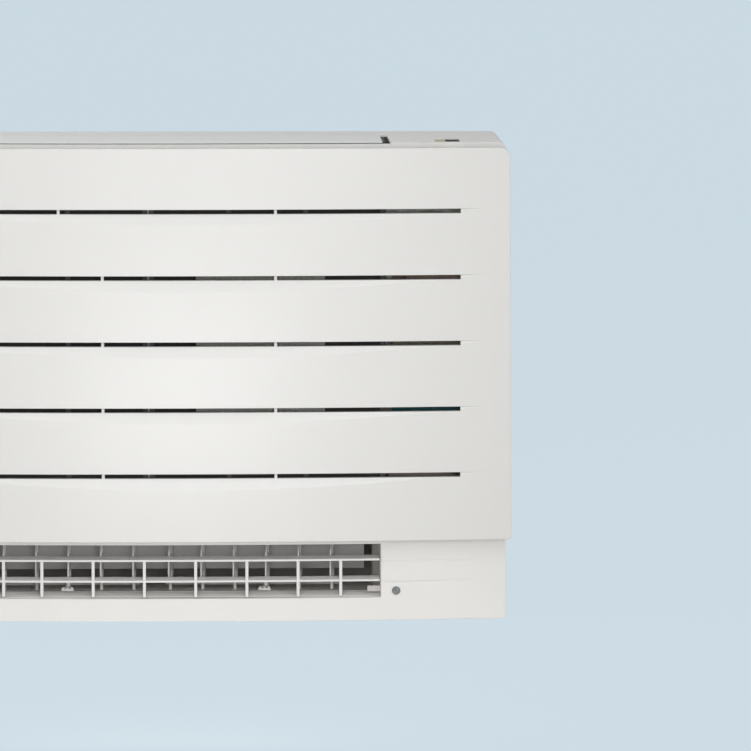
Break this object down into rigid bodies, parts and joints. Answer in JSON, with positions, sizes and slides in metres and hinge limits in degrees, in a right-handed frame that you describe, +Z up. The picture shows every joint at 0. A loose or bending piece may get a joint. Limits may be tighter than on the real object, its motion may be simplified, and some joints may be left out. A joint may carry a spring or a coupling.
{
  "type": "floor console air conditioner",
  "caption": "Low white indoor unit that stands at a wall: bowed slotted intake panel that tilts forward, lifting top flap, and a lower air outlet with blades and turning louvres.",
  "frame": {"origin": "bottom centre of the bounding box, on the floor", "axes": "+Z up, +X to the right seen from the front, +Y towards the wall"},
  "size_m": [0.775, 0.238, 0.578],
  "materials": {
    "white_plastic": "smooth",
    "grey_plastic": "fine grain",
    "dark_plastic": "fine grain",
    "filter_plastic": "smooth",
    "purifier_grey": "pleated",
    "filter_net": "open weave",
    "fin_aluminium": "bright",
    "zinc_steel": "galvanised",
    "copper": "bare copper tube",
    "nut_brass": "machined",
    "screw_steel": "plated",
    "board_teal": "coated board",
    "terminal_beige": "smooth",
    "reactor_brown": "varnished",
    "seal_black": "foam",
    "lens_black": "polished",
    "button_white": "smooth"
  },
  "bodies": {
    "unit": {"front_casing": "white_plastic", "outlet_grille": "white_plastic", "lower_duct": "grey_plastic", "intake_guard": "dark_plastic", "left_filter_frame": "filter_plastic", "right_filter_frame": "filter_plastic", "left_filter_net": "filter_net", "right_filter_net": "filter_net", "purifying_filter": "purifier_grey", "coil_fins": "fin_aluminium", "left_coil_plate": "zinc_steel", "right_coil_plate": "zinc_steel", "return_bends": "copper", "gas_pipe": "copper", "liquid_pipe": "copper", "flare_nuts": "nut_brass", "drain_pan": "dark_plastic", "drain_socket": "dark_plastic", "bell_mouth": "dark_plastic", "fan_motor": "zinc_steel", "motor_mount": "zinc_steel", "motor_screws": "screw_steel", "left_scroll_wall": "dark_plastic", "right_scroll_wall": "dark_plastic", "upper_air_guide": "grey_plastic", "flap_motor": "zinc_steel", "shutter_motor": "zinc_steel", "electrical_box": "zinc_steel", "control_board": "board_teal", "terminal_block": "terminal_beige", "reactor": "reactor_brown", "display_board": "board_teal", "display_window": "lens_black", "rear_frame": "zinc_steel", "casing_screws": "screw_steel"},
    "panel": {"front_panel": "white_plastic"},
    "left_stopper": {"left_panel_stopper": "white_plastic"},
    "right_stopper": {"right_panel_stopper": "white_plastic"},
    "flap": {"upper_flap": "white_plastic", "flap_seal": "seal_black"},
    "shutter": {"lower_shutter": "grey_plastic"},
    "fan": {"turbo_fan": "grey_plastic", "motor_shaft": "screw_steel", "fan_nut": "screw_steel"},
    "button": {"power_button": "button_white"},
    "left_link": {"left_louvre_link": "grey_plastic"},
    "right_link": {"right_louvre_link": "grey_plastic"},
    "left_vane_1": {"left_vane_1": "white_plastic"},
    "left_vane_2": {"left_vane_2": "white_plastic"},
    "left_vane_3": {"left_vane_3": "white_plastic"},
    "left_vane_4": {"left_vane_4": "white_plastic"},
    "left_vane_5": {"left_vane_5": "white_plastic"},
    "left_vane_6": {"left_vane_6": "white_plastic"},
    "right_vane_1": {"right_vane_1": "white_plastic"},
    "right_vane_2": {"right_vane_2": "white_plastic"},
    "right_vane_3": {"right_vane_3": "white_plastic"},
    "right_vane_4": {"right_vane_4": "white_plastic"},
    "right_vane_5": {"right_vane_5": "white_plastic"},
    "right_vane_6": {"right_vane_6": "white_plastic"}
  },
  "joints": [
    {"name": "panel_tilt", "type": "hinge", "parent": "unit", "child": "panel", "pos_m": [0, -0.09, 0.113], "axis": [1, 0, 0], "range_deg": [0, 28]},
    {"name": "left_stopper_slide", "type": "slide", "parent": "panel", "child": "left_stopper", "axis": [1, 0, 0], "range_m": [0, 0.008]},
    {"name": "right_stopper_slide", "type": "slide", "parent": "panel", "child": "right_stopper", "axis": [-1, 0, 0], "range_m": [0, 0.008]},
    {"name": "flap_lift", "type": "hinge", "parent": "unit", "child": "flap", "pos_m": [0, 0.044, 0.5715], "axis": [-1, 0, 0], "range_deg": [0, 70]},
    {"name": "shutter_swing", "type": "hinge", "parent": "unit", "child": "shutter", "pos_m": [0, -0.016, 0.089], "axis": [1, 0, 0], "range_deg": [0, 75]},
    {"name": "fan_spin", "type": "hinge", "parent": "unit", "child": "fan", "pos_m": [-0.0464, 0.03, 0.335], "axis": [0, 1, 0], "continuous": true},
    {"name": "button_press", "type": "slide", "parent": "unit", "child": "button", "axis": [0, 0, -1], "range_m": [0, 0.0012], "stiffness_N_per_m": 1500},
    {"name": "right_vane_1_turn", "type": "hinge", "parent": "unit", "child": "right_vane_1", "pos_m": [-0.024, -0.048, 0.067], "axis": [0, 0, 1], "range_deg": [-22, 38]},
    {"name": "right_vane_2_turn", "type": "hinge", "parent": "unit", "child": "right_vane_2", "pos_m": [0.0152, -0.048, 0.067], "axis": [0, 0, 1], "range_deg": [-22, 38]},
    {"name": "right_vane_3_turn", "type": "hinge", "parent": "unit", "child": "right_vane_3", "pos_m": [0.0544, -0.048, 0.067], "axis": [0, 0, 1], "range_deg": [-22, 38]},
    {"name": "right_vane_4_turn", "type": "hinge", "parent": "unit", "child": "right_vane_4", "pos_m": [0.0936, -0.048, 0.067], "axis": [0, 0, 1], "range_deg": [-22, 38]},
    {"name": "right_vane_5_turn", "type": "hinge", "parent": "unit", "child": "right_vane_5", "pos_m": [0.1328, -0.048, 0.067], "axis": [0, 0, 1], "range_deg": [-22, 38]},
    {"name": "right_vane_6_turn", "type": "hinge", "parent": "unit", "child": "right_vane_6", "pos_m": [0.172, -0.048, 0.067], "axis": [0, 0, 1], "range_deg": [-22, 38]},
    {"name": "right_link_turn", "type": "hinge", "parent": "right_vane_4", "child": "right_link", "pos_m": [0.09527, -0.03612, 0.038], "axis": [0, 0, 1], "range_deg": [-38, 22]},
    {"name": "left_vane_1_turn", "type": "hinge", "parent": "unit", "child": "left_vane_1", "pos_m": [-0.2644, -0.048, 0.067], "axis": [0, 0, 1], "range_deg": [-27, 33]},
    {"name": "left_vane_2_turn", "type": "hinge", "parent": "unit", "child": "left_vane_2", "pos_m": [-0.2252, -0.048, 0.067], "axis": [0, 0, 1], "range_deg": [-27, 33]},
    {"name": "left_vane_3_turn", "type": "hinge", "parent": "unit", "child": "left_vane_3", "pos_m": [-0.186, -0.048, 0.067], "axis": [0, 0, 1], "range_deg": [-27, 33]},
    {"name": "left_vane_4_turn", "type": "hinge", "parent": "unit", "child": "left_vane_4", "pos_m": [-0.1468, -0.048, 0.067], "axis": [0, 0, 1], "range_deg": [-27, 33]},
    {"name": "left_vane_5_turn", "type": "hinge", "parent": "unit", "child": "left_vane_5", "pos_m": [-0.1076, -0.048, 0.067], "axis": [0, 0, 1], "range_deg": [-27, 33]},
    {"name": "left_vane_6_turn", "type": "hinge", "parent": "unit", "child": "left_vane_6", "pos_m": [-0.0684, -0.048, 0.067], "axis": [0, 0, 1], "range_deg": [-27, 33]},
    {"name": "left_link_turn", "type": "hinge", "parent": "left_vane_4", "child": "left_link", "pos_m": [-0.14617, -0.03602, 0.038], "axis": [0, 0, 1], "range_deg": [-33, 27]}
  ],
  "couplings": [
    {"joint": "right_vane_1_turn", "follows": "right_vane_4_turn", "ratio": 1},
    {"joint": "right_vane_2_turn", "follows": "right_vane_4_turn", "ratio": 1},
    {"joint": "right_vane_3_turn", "follows": "right_vane_4_turn", "ratio": 1},
    {"joint": "right_vane_5_turn", "follows": "right_vane_4_turn", "ratio": 1},
    {"joint": "right_vane_6_turn", "follows": "right_vane_4_turn", "ratio": 1},
    {"joint": "right_link_turn", "follows": "right_vane_4_turn", "ratio": -1},
    {"joint": "left_vane_1_turn", "follows": "left_vane_4_turn", "ratio": 1},
    {"joint": "left_vane_2_turn", "follows": "left_vane_4_turn", "ratio": 1},
    {"joint": "left_vane_3_turn", "follows": "left_vane_4_turn", "ratio": 1},
    {"joint": "left_vane_5_turn", "follows": "left_vane_4_turn", "ratio": 1},
    {"joint": "left_vane_6_turn", "follows": "left_vane_4_turn", "ratio": 1},
    {"joint": "left_link_turn", "follows": "left_vane_4_turn", "ratio": -1}
  ]
}
